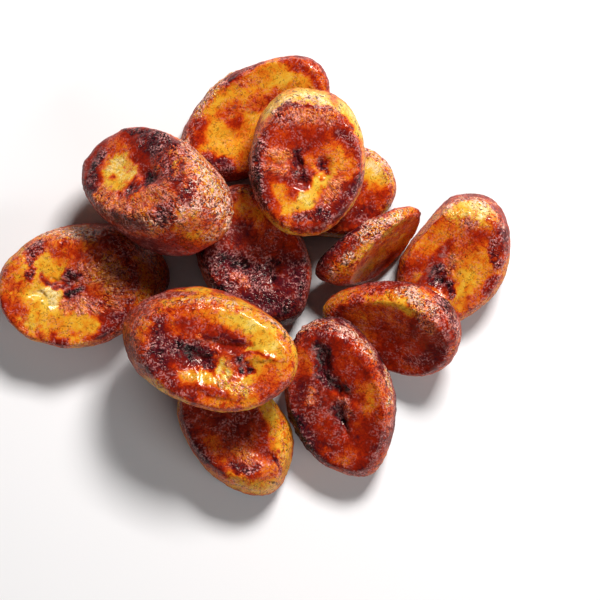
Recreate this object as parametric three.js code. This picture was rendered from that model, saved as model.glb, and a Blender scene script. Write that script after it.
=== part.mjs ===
// A serving of fried ripe plantain: twelve slices, cut on the bias, in one loose heap.
// Millimetres, +Z up. The origin is under the middle of the heap, on the surface that it lies on.
// Each slice is modelled lying flat, cut face up, with +X along its longer diameter. It is then
// turned to its heading, tipped over and set down where it lies in the heap.
import * as THREE from 'three';

// How finely each slice is faceted.
const sidesAround = 36;
const ringsDown = 15;
const ringCrowding = 1.3; // above 1, the rings crowd towards the cut face on top

// The side profile that every slice shares, a rounded box from the axis out, down and back in.
const facePower = 7; // squareness across the cut faces
const wallPower = 3.2; // squareness down the skin side
const typicalRadius = 20;
const typicalHalfThickness = 10;
const profileSamples = 2000;

// The seed core sinks and the rim stands up on the top cut face.
const coreReach = 0.5; // share of the radius
const rimPlace = 0.84; // share of the radius
const rimWidth = 0.1; // share of the radius
const faceStart = 0.3; // share of the half thickness above which relief begins

// Waves that make each outline uneven, as shares of the radius.
const waveCounts = [2, 3, 4, 5, 6];
const waveDepth = 0.022;
const waveTwist = 1.4; // how far, in radians, a wave turns from the back face to the front

// Fried colours.
const golden = { color: '#c87a1e', roughness: 0.38 };
const orange = { color: '#b9581a', roughness: 0.36 };
const redBrown = { color: '#8c3216', roughness: 0.34 };
const darkBrown = { color: '#5e1f12', roughness: 0.32 };
const metalness = 0;

const pressRounding = 1.5; // how softly a pressed side turns into its flat, in mm

// A hollow in the top cut face: centre, half length, half width, turn in degrees and depth.
// A negative depth is a ridge or a swelling.
function hollow(x, y, long, wide, turn, deep) {
  return { x, y, long, wide, turn, deep };
}

// long and short are half diameters, thick is the whole thickness.
// at is the middle of the slice. heading turns the long diameter from +X towards +Y.
// tip leans the cut face over by so many degrees, towards the direction tipTo.
// slant shifts the top face against the bottom one, per mm of height: the bias of the cut.
// taper makes the slice thicker towards +X or +Y. egg makes the +X end the wider one.
// pressed flattens the side that faces towards so many degrees, from so far beyond the middle.
const slices = [
  {
    name: 'slice_left',
    look: golden,
    long: 24, short: 19, thick: 17,
    at: [-56.5, -2.6, 8.3], heading: 5, tipTo: 120, tip: 0,
    slant: [-0.6, -0.38], taper: [0, 0], egg: 0, seed: 1, waviness: 1, core: 1.2, rim: 0.5,
    hollows: [
      hollow(-1, 2.4, 3.6, 1.5, 0, 1.5),
      hollow(-2, -3.4, 3.8, 1.4, 12, 1.3),
      hollow(-9, -0.4, 2.6, 1.4, -30, 1.1),
      hollow(-15, 9, 5, 4, 0, -1.2),
    ],
  },
  {
    name: 'slice_left_upper',
    look: redBrown,
    long: 24, short: 16.8, thick: 27,
    at: [-32.2, 24.5, 22.8], heading: 150, tipTo: 142, tip: 35,
    slant: [0.12, 0], taper: [0, 0], egg: 0, seed: 11, waviness: 0.7, core: 1.2, rim: 0.5,
    hollows: [
      hollow(-4, 0.5, 3.4, 2.4, 40, 1.9),
      hollow(-0.5, 6.2, 2.8, 1.5, 60, 1.4),
      hollow(-15.5, 9.5, 4.5, 2.2, -50, 1),
    ],
  },
  {
    name: 'slice_back',
    look: golden,
    long: 25.6, short: 16.3, thick: 14,
    at: [-2.5, 50.4, 6.8], heading: 35, tipTo: -68, tip: 0,
    slant: [0.25, -0.1], taper: [0.12, 0], egg: 0, seed: 9, waviness: 1, core: 1.2, rim: 0.5,
    hollows: [
      hollow(-9, -1.5, 5, 2.5, 0, 1),
      hollow(3, 0, 8, 2.2, 0, 0.9),
    ],
  },
  {
    name: 'slice_back_upper',
    look: orange,
    long: 22.5, short: 18, thick: 18,
    at: [14, 34, 24.8], heading: 90, tipTo: -70, tip: 8,
    slant: [-0.25, 0], taper: [0, 0], egg: 0, seed: 12, waviness: 1, core: 1.2, rim: 0.5,
    hollows: [
      hollow(0.6, 3.3, 3.2, 1.8, 10, 1.8),
      hollow(-0.6, -4.7, 3, 1.7, -20, 1.6),
      hollow(-4.7, 2.5, 2.6, 1.6, 80, 1.4),
    ],
  },
  {
    name: 'slice_back_right',
    look: orange,
    long: 17.5, short: 14.5, thick: 13,
    at: [25, 27, 7.5], heading: 13, tipTo: -74, tip: 8,
    slant: [0, 0], taper: [0, 0], egg: 0, seed: 5, waviness: 1, core: 1.2, rim: 0.5,
    hollows: [
      hollow(0, 0, 5, 3, 0, 0.8),
    ],
  },
  {
    name: 'slice_middle',
    look: darkBrown,
    long: 24, short: 16.5, thick: 17,
    at: [-3, 6, 8.3], heading: -60, tipTo: 52, tip: 0,
    slant: [0, 0], taper: [0, 0], egg: 0, seed: 3, waviness: 1, core: 1.2, rim: 0.5,
    hollows: [
      hollow(1.2, -4, 6.2, 2, 42, 2.2),
      hollow(7.5, 2.8, 3.6, 1.7, -22, 1.5),
    ],
  },
  {
    name: 'slice_on_edge',
    look: orange,
    long: 19.4, short: 12, thick: 7.6,
    at: [34.3, 9, 12.3], heading: 40, tipTo: -60, tip: 71,
    slant: [0.75, 0], taper: [-0.2, 0], egg: 0, seed: 6, waviness: 0.6, core: 0.4, rim: 0.5,
    hollows: [
      hollow(0, 0, 9, 3, 0, 0.5),
    ],
  },
  {
    name: 'slice_right',
    look: orange,
    long: 22, short: 16.3, thick: 14,
    at: [60.5, 5.3, 7.9], heading: 58, tipTo: -115, tip: 6,
    slant: [-0.3, -0.12], taper: [0.15, 0], egg: 0, seed: 4, waviness: 0.6, core: 1.2, rim: 0.5,
    pressed: { towards: 81, beyond: 12.6 },
    hollows: [
      hollow(-7, 1, 3.4, 2.6, 60, 1.9),
      hollow(-1.5, 1.5, 5, 1.8, 20, 1),
    ],
  },
  {
    name: 'slice_right_leaning',
    look: redBrown,
    long: 22, short: 15, thick: 12,
    at: [40.5, -16.1, 12], heading: -9, tipTo: -111, tip: 42,
    slant: [0, 0], taper: [0.12, 0], egg: 0.25, seed: 7, waviness: 0.6, core: 1.2, rim: 0.5,
    hollows: [
      hollow(3, 1, 9, 4.5, 5, 1.6),
    ],
  },
  {
    name: 'slice_front_right',
    look: darkBrown,
    long: 26, short: 16.5, thick: 15,
    at: [24.5, -38.7, 12.9], heading: -78, tipTo: -120, tip: 22,
    slant: [0, 0], taper: [-0.08, 0], egg: 0, seed: 8, waviness: 1, core: 1.2, rim: 0.5,
    hollows: [
      hollow(-13.5, -1, 6, 2, -8, 2.2),
      hollow(-4.5, 1.5, 4, 1.9, 35, 2),
      hollow(5.5, 0, 4.8, 1.7, 8, 2.2),
      hollow(2, 4.5, 4, 1.8, 10, -0.9),
    ],
  },
  {
    name: 'slice_front_left',
    look: redBrown,
    long: 22.5, short: 15.3, thick: 17,
    at: [-8.5, -47.9, 8.4], heading: -58, tipTo: 92, tip: 1,
    slant: [-0.2, 0], taper: [0, 0], egg: 0, seed: 2, waviness: 1, core: 1.2, rim: 0.5,
    hollows: [
      hollow(-2, 0, 7, 3, 0, 1.2),
      hollow(8, 1, 5, 2, 10, 1),
      hollow(15.6, 4.5, 2.5, 1.8, 40, 1.2),
    ],
  },
  {
    name: 'slice_front_upper',
    look: golden,
    long: 26, short: 17.5, thick: 19,
    at: [-16, -24.5, 26.6], heading: -12, tipTo: -59, tip: 3,
    slant: [0.33, -0.28], taper: [0, 0], egg: 0, seed: 10, waviness: 0.7, core: 1.2, rim: 0.5,
    hollows: [
      hollow(-3.8, -2.6, 5.4, 3.2, -6, 2.6),
      hollow(9.2, -1.6, 2.6, 2, 0, 1.5),
      hollow(3, 3.7, 7, 1.5, 6, 1.3),
      hollow(15, 3.3, 5.5, 1.4, 17, -0.9),
      hollow(3, -9.7, 10, 2, 0, -1),
    ],
  },
];

// Points of the side profile, evenly spaced along it but for the crowding, as shares of
// the radius and of the half thickness. The first and last lie on the axis.
function sideProfile() {
  const radius = [];
  const height = [];
  const travelled = [0];
  for (let i = 0; i <= profileSamples; i += 1) {
    const angle = Math.PI * (0.5 - i / profileSamples);
    const rise = Math.sin(angle);
    radius.push(Math.abs(Math.cos(angle)) ** (2 / facePower));
    height.push(Math.sign(rise) * Math.abs(rise) ** (2 / wallPower));
    if (i > 0) {
      const out = (radius[i] - radius[i - 1]) * typicalRadius;
      const down = (height[i] - height[i - 1]) * typicalHalfThickness;
      travelled.push(travelled[i - 1] + Math.hypot(out, down));
    }
  }
  const points = [];
  const last = ringsDown + 1;
  for (let ring = 0; ring <= last; ring += 1) {
    const goal = travelled[profileSamples] * (ring / last) ** ringCrowding;
    const i = Math.max(1, travelled.findIndex((length) => length >= goal - 1e-9));
    const share = (goal - travelled[i - 1]) / (travelled[i] - travelled[i - 1]);
    points.push({
      radius: THREE.MathUtils.lerp(radius[i - 1], radius[i], share),
      height: THREE.MathUtils.lerp(height[i - 1], height[i], share),
    });
  }
  return points;
}

// A small repeatable random generator, giving numbers from 0 to 1.
function seededDraws(seed) {
  const multiplier = 16807;
  const modulus = 2147483647;
  let state = seed * 7919 + 11;
  return () => {
    state = (state * multiplier) % modulus;
    return state / modulus;
  };
}

// The waves round one slice: each has a count, a depth, a phase and a twist over the height.
function outlineWaves(slice) {
  const draw = seededDraws(slice.seed);
  return waveCounts.map((count) => {
    const depth = slice.waviness * waveDepth * (0.4 + 0.6 * draw()) / Math.sqrt(count / 2);
    const phase = 2 * Math.PI * draw();
    const twist = waveTwist * (draw() - 0.5);
    return { count, depth, phase, twist };
  });
}

// How far the top face stands above its plane: the sunk core, the raised rim and the hollows.
function faceRelief(slice, radius, x, y) {
  let relief = -slice.core * Math.exp(-((radius / coreReach) ** 2));
  relief += slice.rim * Math.exp(-(((radius - rimPlace) / rimWidth) ** 2));
  for (const dip of slice.hollows) {
    const turn = THREE.MathUtils.degToRad(dip.turn);
    const along = (x - dip.x) * Math.cos(turn) + (y - dip.y) * Math.sin(turn);
    const across = (y - dip.y) * Math.cos(turn) - (x - dip.x) * Math.sin(turn);
    relief -= dip.deep * Math.exp(-((along / dip.long) ** 2) - (across / dip.wide) ** 2);
  }
  return relief;
}

// How far a pressed side moves in: all that stands beyond the flat, eased in at its edge.
function pressedBack({ towards, beyond }, x, y) {
  const turn = THREE.MathUtils.degToRad(towards);
  const over = Math.max(x * Math.cos(turn) + y * Math.sin(turn) - beyond, 0);
  const back = over ** 2 / (over + pressRounding);
  return { x: back * Math.cos(turn), y: back * Math.sin(turn) };
}

// One surface point of a slice that lies flat, at an angle round it and a profile point.
function slicePoint(slice, waves, angle, { radius, height }) {
  let wave = 0;
  for (const { count, depth, phase, twist } of waves) {
    wave += depth * Math.cos(count * angle + phase + twist * height);
  }
  const reach = radius * (1 + wave * radius ** 2);
  let x = slice.long * reach * Math.cos(angle);
  let y = slice.short * reach * Math.sin(angle) * (1 + slice.egg * radius * Math.cos(angle));
  if (slice.pressed) {
    const back = pressedBack(slice.pressed, x, y);
    x -= back.x;
    y -= back.y;
  }
  let z = height * slice.thick / 2;
  z += (height + 1) / 2 * (slice.taper[0] * x + slice.taper[1] * y);
  const onFace = THREE.MathUtils.clamp((height - faceStart) / (1 - faceStart), 0, 1);
  z += onFace * faceRelief(slice, radius, x, y);
  x += slice.slant[0] * z;
  y += slice.slant[1] * z;
  return new THREE.Vector3(x, y, z);
}

// The turn of a slice: first to its heading, then over towards tipTo.
function sliceTurn(slice) {
  const up = new THREE.Vector3(0, 0, 1);
  const tipTo = THREE.MathUtils.degToRad(slice.tipTo);
  const tipAxis = new THREE.Vector3(-Math.sin(tipTo), Math.cos(tipTo), 0);
  const turn = new THREE.Quaternion();
  turn.setFromAxisAngle(up, THREE.MathUtils.degToRad(slice.heading));
  const tip = new THREE.Quaternion();
  tip.setFromAxisAngle(tipAxis, THREE.MathUtils.degToRad(slice.tip));
  return tip.multiply(turn);
}

// The closed skin of one slice: a pole on the top face, rings, and a pole on the bottom face.
// What would dip below the surface that the heap lies on is pressed flat against it.
function sliceGeometry(slice, profile, placing) {
  const waves = outlineWaves(slice);
  const lifting = placing.clone().invert();
  const positions = [];
  function addPoint(angle, station) {
    const point = slicePoint(slice, waves, angle, station).applyMatrix4(placing);
    point.z = Math.max(point.z, 0);
    positions.push(...point.applyMatrix4(lifting).toArray());
  }
  addPoint(0, profile[0]);
  for (let ring = 1; ring <= ringsDown; ring += 1) {
    for (let side = 0; side < sidesAround; side += 1) {
      addPoint(2 * Math.PI * side / sidesAround, profile[ring]);
    }
  }
  addPoint(0, profile[ringsDown + 1]);

  const faces = [];
  const at = (ring, side) => 1 + ring * sidesAround + side % sidesAround;
  const bottomPole = 1 + ringsDown * sidesAround;
  for (let side = 0; side < sidesAround; side += 1) {
    faces.push(0, at(0, side), at(0, side + 1));
    for (let ring = 0; ring < ringsDown - 1; ring += 1) {
      faces.push(at(ring, side), at(ring + 1, side), at(ring + 1, side + 1));
      faces.push(at(ring, side), at(ring + 1, side + 1), at(ring, side + 1));
    }
    faces.push(bottomPole, at(ringsDown - 1, side + 1), at(ringsDown - 1, side));
  }
  const geometry = new THREE.BufferGeometry();
  geometry.setAttribute('position', new THREE.Float32BufferAttribute(positions, 3));
  geometry.setIndex(faces);
  geometry.computeVertexNormals();
  return geometry;
}

function makeSlice(slice, profile) {
  const mesh = new THREE.Mesh();
  mesh.name = slice.name;
  mesh.position.fromArray(slice.at);
  mesh.quaternion.copy(sliceTurn(slice));
  mesh.updateMatrix();
  mesh.geometry = sliceGeometry(slice, profile, mesh.matrix);
  mesh.material = new THREE.MeshStandardMaterial({ ...slice.look, metalness });
  return mesh;
}

const heap = new THREE.Group();
const profile = sideProfile();
for (const slice of slices) {
  heap.add(makeSlice(slice, profile));
}

// The heap moves so that its box stands centred over the origin.
const middle = new THREE.Box3().setFromObject(heap, true).getCenter(new THREE.Vector3());
heap.position.set(-middle.x, -middle.y, 0);

const serving = new THREE.Group();
serving.name = 'fried_plantain_serving';
serving.add(heap);

export default serving;
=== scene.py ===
import math
from types import SimpleNamespace

import bpy
import numpy as np
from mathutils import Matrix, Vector


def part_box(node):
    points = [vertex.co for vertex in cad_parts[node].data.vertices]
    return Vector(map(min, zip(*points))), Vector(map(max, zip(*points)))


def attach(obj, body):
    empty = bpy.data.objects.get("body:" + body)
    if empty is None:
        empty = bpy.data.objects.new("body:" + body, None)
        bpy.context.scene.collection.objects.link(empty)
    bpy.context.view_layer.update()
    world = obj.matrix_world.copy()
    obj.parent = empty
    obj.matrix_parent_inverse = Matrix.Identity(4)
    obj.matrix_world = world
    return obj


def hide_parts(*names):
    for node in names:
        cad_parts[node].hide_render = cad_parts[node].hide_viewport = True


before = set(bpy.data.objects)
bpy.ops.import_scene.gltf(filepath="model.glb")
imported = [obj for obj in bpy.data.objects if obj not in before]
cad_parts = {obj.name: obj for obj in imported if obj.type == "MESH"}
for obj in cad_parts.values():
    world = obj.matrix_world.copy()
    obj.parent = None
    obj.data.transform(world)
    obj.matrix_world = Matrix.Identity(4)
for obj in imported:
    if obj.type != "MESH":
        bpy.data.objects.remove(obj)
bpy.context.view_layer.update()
print("frame loaded:", len(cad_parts), "plantain solids")

mm = 0.001  # slices are worked out in millimetres and stored in metres

# How far each tone is fried (0 raw, 1 burnt), then how fibrous, how crusty and how glazed it is.
levelAt, fibreAt, crustAt, glazeAt = range(4)
tones = {
    "cream": (0.04, 0.35, 0.25, 0.7),
    "yellow": (0.15, 0.0, 0.1, 0.9),
    # partly painted highlight: a pale crust tone for the sheen on walls that face the light
    "pink": (0.24, 0.4, 1.0, 1.0),
    "gold": (0.27, 0.0, 0.18, 0.9),
    "amber": (0.40, 0.0, 0.22, 0.9),
    # partly painted highlight: a pale crust tone for the sheen on walls that face the light
    "rosy": (0.42, 0.5, 1.0, 1.0),
    "salmon": (0.50, 1.0, 0.7, 0.8),
    "orange": (0.53, 0.1, 0.3, 0.9),
    "red": (0.66, 0.0, 0.2, 1.0),
    "brown": (0.74, 0.3, 0.4, 0.9),
    "maroon": (0.80, 0.0, 0.35, 1.0),
    "plum": (0.86, 0.3, 0.8, 1.0),
    "char": (0.97, 0.0, 0.6, 1.0),
}

# What each slice has unless it says otherwise. Lengths are in mm, turns in degrees.
usual = {"slant": (0, 0), "taper": (0, 0), "egg": 0, "pressed": None, "waviness": 1, "core": 1.2,
         "rim": 0.5, "face": ("gold", "orange"), "wall": ("gold", "orange"), "paint": ()}

# Each slice: its solid's shape and place, then its browning. A hollow is x, y, half length, half width, turn
# and depth, and one of negative depth is a bump. A face or wall is a tone and a second one in patches.
# A paint stroke is a tone, a half width and the points it runs through, (x, y) on the cut face or (x, y, z)
# anywhere, all in the slice's own millimetres.
slices = [
    dict(node="slice_left", slot="golden_crust", long=24, short=19, thick=17,
         at=(-56.5, -2.6, 8.3), heading=5, tipTo=120, tip=0, slant=(-0.6, -0.38), seed=1,
         hollows=[(-1, 2.4, 3.6, 1.5, 0, 1.5), (-2, -3.4, 3.8, 1.4, 12, 1.3),
                  (-9, -0.4, 2.6, 1.4, -30, 1.1), (-15, 9, 5, 4, 0, -1.2)],
         face=("orange", "red"), wall=("amber", "orange"),
         paint=[("gold", 6, (-14, 5), (-13, -2.5), (-9, -10.5)), ("gold", 5, (-10.5, 6.5), (-7, 3.5)),
                ("yellow", 3.5, (-12.5, -3), (-9, -9)),
                ("gold", 4.5, (-14, -10.5), (-5.5, -13), (0.5, -13.5)),
                ("cream", 2.6, (-10.5, -2.5), (-7, -6)), ("salmon", 3, (-5, -7), (-1, -6.5)),
                ("brown", 1, (-12.5, 2.3), (-7.3, -1.7), (-3, -0.3)), ("char", 1.6, (-3.5, 2.6), (1.2, 2.2)),
                ("char", 1.5, (-4.6, -3.9), (0.3, -2.8)), ("red", 3.6, (-6, 10.5), (0, 8.5), (9, 8)),
                ("orange", 3, (-7.5, 13), (2, 13.5)), ("plum", 2.2, (-15, 9.8), (-13, 11), (-11, 12.5)),
                ("plum", 0.9, (-14, 9.3), (-15, 5.6), (-16.5, 1.6)), ("rosy", 4, (-8, 18, 2), (4, 17, 6)),
                ("red", 3, (9, 15.5, 6), (14, 12, 8)), ("maroon", 2.6, (11.7, 12), (16.6, 3), (15, -6.5)),
                ("maroon", 2, (15, -6.5), (9, -12)), ("salmon", 5.4, (3, 3.5), (8, 4), (10.5, -4)),
                ("salmon", 2.4, (1, -7.5), (6, -9)),
                # partly painted light: the right wall's orange and amber strokes are brighter than its own
                # colour, as if lit
                ("orange", 6, (19.7, 8.7, 2), (22, -0.6, 3), (18, -10, 4)),
                ("amber", 2.6, (20, 5, 6), (20.5, -0.5, 6), (18.5, -6, 6))]),
    dict(node="slice_left_upper", slot="red_brown_crust", long=24, short=16.8, thick=27,
         at=(-32.2, 24.5, 22.8), heading=150, tipTo=142, tip=35, slant=(0.12, 0), seed=11, waviness=0.7,
         hollows=[(-6, 0.3, 3.4, 2.4, 40, 1.9), (-2, 6.2, 2.8, 1.5, 60, 1.4), (-15.5, 8.5, 4.5, 2.2, -50, 1)],
         face=("orange", "red"), wall=("gold", "orange"),
         paint=[("red", 5, (17.5, -7.4), (11, -9.5), (2.5, -6.4)), ("orange", 4, (13.5, -4.5), (7.5, -4.5)),
                ("plum", 2.2, (17.1, -1), (15.7, 5.8), (10.4, 11.2)), ("cream", 4.4, (8.9, 0.8), (4, 2)),
                ("yellow", 2.2, (7.5, 7.2), (4, 7)), ("salmon", 4.4, (6, 11.5), (-4.7, 12), (-13.4, 11.5)),
                ("maroon", 5, (13, 13, 1), (0, 17, 2), (-12, 15, 0)),
                ("maroon", 2.2, (4, 15, 10), (-4, 15.3, 10), (-11, 14.4, 8)),
                ("salmon", 2.6, (9, 10.5), (3, 13)), ("char", 2.2, (-6.5, 0.1)),
                ("char", 1.2, (-2, 7.1), (-3.3, 4.8)),
                ("plum", 4.2, (3.2, -11.6), (-5.5, -9.1), (-12.7, -4.1)),
                ("salmon", 4, (-11, 3.7), (-20.3, 3)),
                ("maroon", 3.2, (-9.5, -10.3), (-18.5, -6), (-22.6, 0.3)),
                ("plum", 2.8, (-16.3, 9.6), (-20.5, 7.9)),
                ("plum", 1.1, (15, -10.5), (3.1, -13.5), (-8.8, -12.1)),
                ("rosy", 9, (-15.5, -12, 9), (-19.6, -9.4, 3), (-22.4, -4, -5.9)),
                ("pink", 3, (-17.5, -11, 5), (-20.6, -8, 0)), ("orange", 3.4, (-22, 6, 4), (-23.9, 0.9, -5)),
                ("red", 5, (-16.4, 12.3, 1.7), (-15.6, 10.2, -11)),
                ("red", 4, (-15.6, 10.2, -11), (-21.3, 2.4, -11))]),
    dict(node="slice_back", slot="golden_crust", long=25.6, short=16.3, thick=14,
         at=(-2.5, 50.4, 6.8), heading=35, tipTo=-68, tip=0, slant=(0.25, -0.1), taper=(0.12, 0), seed=9,
         hollows=[(-9, -1.5, 5, 2.5, 0, 1), (3, 0, 8, 2.2, 0, 0.9)],
         face=("gold", "amber"), wall=("orange", "red"),
         paint=[("yellow", 3.6, (13, 4.8), (16, 5.4)), ("amber", 4, (15.5, 8.5), (6.7, 11)),
                ("salmon", 2.4, (2, 10.7)), ("gold", 4, (0, 7.9), (-5.9, 8.4)),
                ("orange", 3, (-3.7, 5.3), (-7.2, 6.1)), ("red", 2, (-7.4, 2.7), (-5.2, 1.8)),
                ("gold", 4.6, (-13.4, 1.4), (-11.8, -3.3)), ("red", 3, (-16.3, 8.4), (-19, 5.1)),
                ("salmon", 2, (-21.4, 7.5, 3.4), (-24.2, 6, 2)),
                ("maroon", 1.2, (-2.3, 14), (3.7, 13.8), (10.7, 12.8)),
                ("red", 1.8, (17.9, 9.5), (19.8, 5.8), (21.4, 0)), ("red", 2.4, (20.5, -5.3), (20.6, -2.5)),
                ("maroon", 2.6, (-16.6, -8.6), (-19.6, -2.9)), ("gold", 3, (17.4, 0.2), (17, -4)),
                ("orange", 2.6, (8, 1), (2, 3)), ("amber", 5, (4, -6), (12, -8)),
                ("pink", 2.2, (-14, 12, 3), (-4, 15, 3), (6, 15.6, 2))]),
    dict(node="slice_back_upper", slot="orange_crust", long=22.5, short=18, thick=18,
         at=(14, 34, 24.8), heading=90, tipTo=-70, tip=8, slant=(-0.25, 0), seed=12,
         hollows=[(0.6, 3.3, 3.2, 1.8, 10, 1.8), (-0.6, -4.7, 3, 1.7, -20, 1.6),
                  (-4.7, 2.5, 2.6, 1.6, 80, 1.3)],
         face=("orange", "red"), wall=("gold", "amber"),
         paint=[("yellow", 4.5, (16, 12.4, -4), (17, 11, 5.6)), ("cream", 5, (18.8, 8, 7), (19, -1.8, 8)),
                ("yellow", 3.4, (16.4, -12.6, 4.4), (9, -16.6, 4.4)),
                ("cream", 3, (18.2, -1.8, 8.5), (16.4, -8, 8.3)),
                ("pink", 2.6, (16.8, 6, 8.7), (17.4, -0.5, 8.7), (15, -7.4, 8.7)),
                ("orange", 3, (12.6, 14.4, -3.6), (10, 15.5, 4.6)),
                ("plum", 3.6, (1.2, 17.7, -1), (-5.8, 17.2, 3.4), (-11.7, 13.9, 7.3)),
                ("salmon", 2, (13.9, 9.7), (15.4, 1.1), (13.4, -7)),
                ("maroon", 0.8, (15.6, 9), (16.8, 2), (15, -6.5)), ("salmon", 3, (12, 8), (11.3, -6.3)),
                ("red", 5, (5.5, 7.3), (7, -4.4)), ("orange", 4, (5.3, -8.7), (-2.4, -10.8)),
                ("amber", 3.5, (0.7, -8.6), (-3, -13)), ("maroon", 2, (9, -10), (5, -13)),
                ("char", 2, (2.3, 3.6), (-1.1, 2.9)), ("char", 1.7, (-0.6, -4.7)),
                ("plum", 2, (-4.9, 3.9), (-4.5, 1.3)), ("salmon", 2, (2.1, 11.9), (1.4, 6.8)),
                ("salmon", 2, (-2.5, 12.7), (-4.2, 7)), ("plum", 1.6, (4.9, 14.6), (-1, 15.8), (-9, 15.6)),
                ("yellow", 3.2, (-5.2, -4.5), (-9.2, -3), (-13.7, 0.4)), ("cream", 1.3, (-10.9, 2.2)),
                ("gold", 3.6, (-10.2, 8.7), (-13.5, 6)), ("red", 2, (-9.9, 12.7), (-16, 10)),
                ("salmon", 2.4, (-7.9, -8.4), (-12.5, -6.3)),
                ("maroon", 1.8, (-5.6, -15.6), (-10.2, -14), (-14.6, -9.4)),
                ("plum", 1.8, (-17.8, 2.5), (-16.5, -5.6)), ("orange", 1.2, (-19.8, -2.5, 7.6))]),
    dict(node="slice_back_right", slot="orange_crust", long=17.5, short=14.5, thick=13,
         at=(25, 27, 7.5), heading=13, tipTo=-74, tip=8, seed=5,
         hollows=[(0, 0, 5, 3, 0, 0.8)], face=("orange", "red"), wall=("gold", "orange"),
         paint=[("yellow", 4.4, (9.8, 5.4), (13, 1.5), (12, -1.5)),
                ("pink", 3.2, (9, 9.8, 6.2), (12.6, 7.2, 5.7), (15, 3.5, 5.7)),
                ("cream", 2, (10.5, 6.5), (12.5, 4)), ("gold", 2.4, (13.5, -0.2), (10, -1)),
                ("red", 3.6, (8.6, -5), (12.7, -3.8)), ("maroon", 3, (3.9, -8.8), (7.1, -8.8))]),
    dict(node="slice_middle", slot="dark_crust", long=24, short=16.5, thick=17,
         at=(-3, 6, 8.3), heading=-60, tipTo=52, tip=0, seed=3,
         hollows=[(1.2, -4, 6.2, 2, 42, 2.2), (7.5, 2.8, 3.6, 1.7, -22, 1.5)],
         face=("brown", "maroon"), wall=("orange", "brown"),
         paint=[("orange", 5, (-16.3, 4.8), (-9.7, 6.7), (-5, 6.8)), ("amber", 2.4, (-15, 5), (-9, 7.5)),
                ("pink", 1.4, (-19.9, 6.7, 7), (-17.8, 8.6, 7.5)), ("brown", 4, (-7.7, -2.3), (2, 5.6)),
                ("char", 2.2, (-3.5, -7.9), (1.4, -3.6), (5.7, 0)), ("char", 1.6, (5.5, 3.6), (9.3, 2)),
                ("plum", 3.4, (4.2, -7), (8.5, -3)), ("plum", 3.6, (-1, -13), (4.8, -12.3)),
                ("maroon", 4, (14, 6.8), (18.5, 5.9)), ("red", 2.4, (0.3, 11.3), (6.5, 13)),
                ("plum", 2.4, (12.9, -4.3), (18, 1.3)), ("salmon", 1.6, (3, -8.5), (7, -6.5))]),
    dict(node="slice_on_edge", slot="orange_crust", long=19.4, short=12, thick=7.6,
         at=(34.3, 9, 12.3), heading=40, tipTo=-60, tip=71, slant=(0.75, 0), taper=(-0.2, 0), seed=6,
         waviness=0.6, core=0.4, hollows=[(0, 0, 9, 3, 0, 0.3)],
         face=("orange", "orange"), wall=("amber", "red"),
         paint=[("pink", 4.4, (6.3, 10.6, 1.7), (10.4, 7.7, 1.8)),
                ("rosy", 4.4, (-3, 11.6, 2.1), (1, 11.6, 2.1)),
                ("gold", 2.2, (-0.8, 9.7, 4), (-5.2, 9.9, 4.6)),
                ("red", 3, (-3.4, 11.8, 0.9), (-7.3, 11.2, 1.6)),
                ("salmon", 1.6, (-6.5, 11, 3.1), (-9.5, 9.8, 4.5)), ("gold", 1.6, (-12.1, 8.3, 5.1)),
                ("salmon", 2, (-14.7, 7.6, 3.9)), ("orange", 4, (-18.8, 0, 5.5), (-16.8, 1.6, 6.8)),
                ("amber", 4, (-8, 1), (1.6, -1)), ("red", 2, (6, -7.5), (-8, -6.5)),
                ("amber", 3.6, (8.3, -5), (12.9, -5)), ("plum", 1.8, (18.4, -2.4, -0.5)),
                ("maroon", 2.6, (-19.5, 0.2, 3.2))]),
    dict(node="slice_right", slot="orange_crust", long=22, short=16.3, thick=14,
         at=(60.5, 5.3, 7.9), heading=58, tipTo=-115, tip=6, slant=(-0.3, -0.12), taper=(0.15, 0), seed=4,
         waviness=0.6, pressed=(81, 12.6), hollows=[(-7, 1, 3.4, 2.6, 60, 1.9), (-1.5, 1.5, 5, 1.8, 20, 1)],
         face=("amber", "orange"), wall=("amber", "orange"),
         # partly painted highlight: the pale strokes along the top, which faces the light
         paint=[("pink", 5.2, (12.4, 8.6, 8.7), (16, 6, 8.9), (19.4, 0.6, 7.7)),
                ("cream", 3.4, (14, 6.8), (17, 3.4), (17.6, -0.6)), ("yellow", 1, (13.5, 8.5), (16, 4.5)),
                ("orange", 4.4, (3, 6.4), (3.2, 11.5)), ("amber", 3, (-1.7, 10), (-3, 6.8)),
                ("red", 3.2, (-10.8, 10.3), (-7.5, 9.3)), ("gold", 1.5, (-10.6, 6.6)),
                ("char", 2.4, (-5.7, 1.9), (-8.5, 2.7)), ("char", 1.7, (-7.7, -1.5)),
                ("salmon", 1.4, (0.3, 0.3), (-3.7, -0.5)), ("gold", 3.8, (-3.6, -6.4), (-10.3, -7.6)),
                ("yellow", 1.6, (-6, -6), (-9, -6.6)), ("orange", 3, (5.3, -2.4), (8, 1)),
                ("amber", 3.6, (0.6, 9), (6, 7.5)), ("red", 2.6, (9.6, -1.4), (10.8, -4.3)),
                ("plum", 2.4, (10.5, -7.8), (6.5, -11.3)), ("maroon", 1.8, (2, -13.9), (-3.4, -14.3)),
                ("maroon", 3.6, (15.2, -9.8, 7.6), (11.4, -11.6, 7.7)), ("salmon", 1.4, (17.8, -7.9, 7.6)),
                ("red", 3, (21.6, -4, 4.8), (19.4, -8, 3.3)),
                ("brown", 1.8, (20.3, 5.8, 5), (16.7, 9.5, 6.5)), ("orange", 1.7, (-6, -12.5), (-10, -12.3)),
                ("plum", 1.8, (-8.4, -1.6), (-9.8, -4.7)), ("salmon", 2, (11.7, 3.5), (12.4, 1)),
                ("red", 1.6, (-12, 5), (-4, 4.6), (3, 3.4)), ("amber", 5, (-4, 15, 0), (8, 14, 3))]),
    dict(node="slice_right_leaning", slot="red_brown_crust", long=22, short=15, thick=12,
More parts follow.
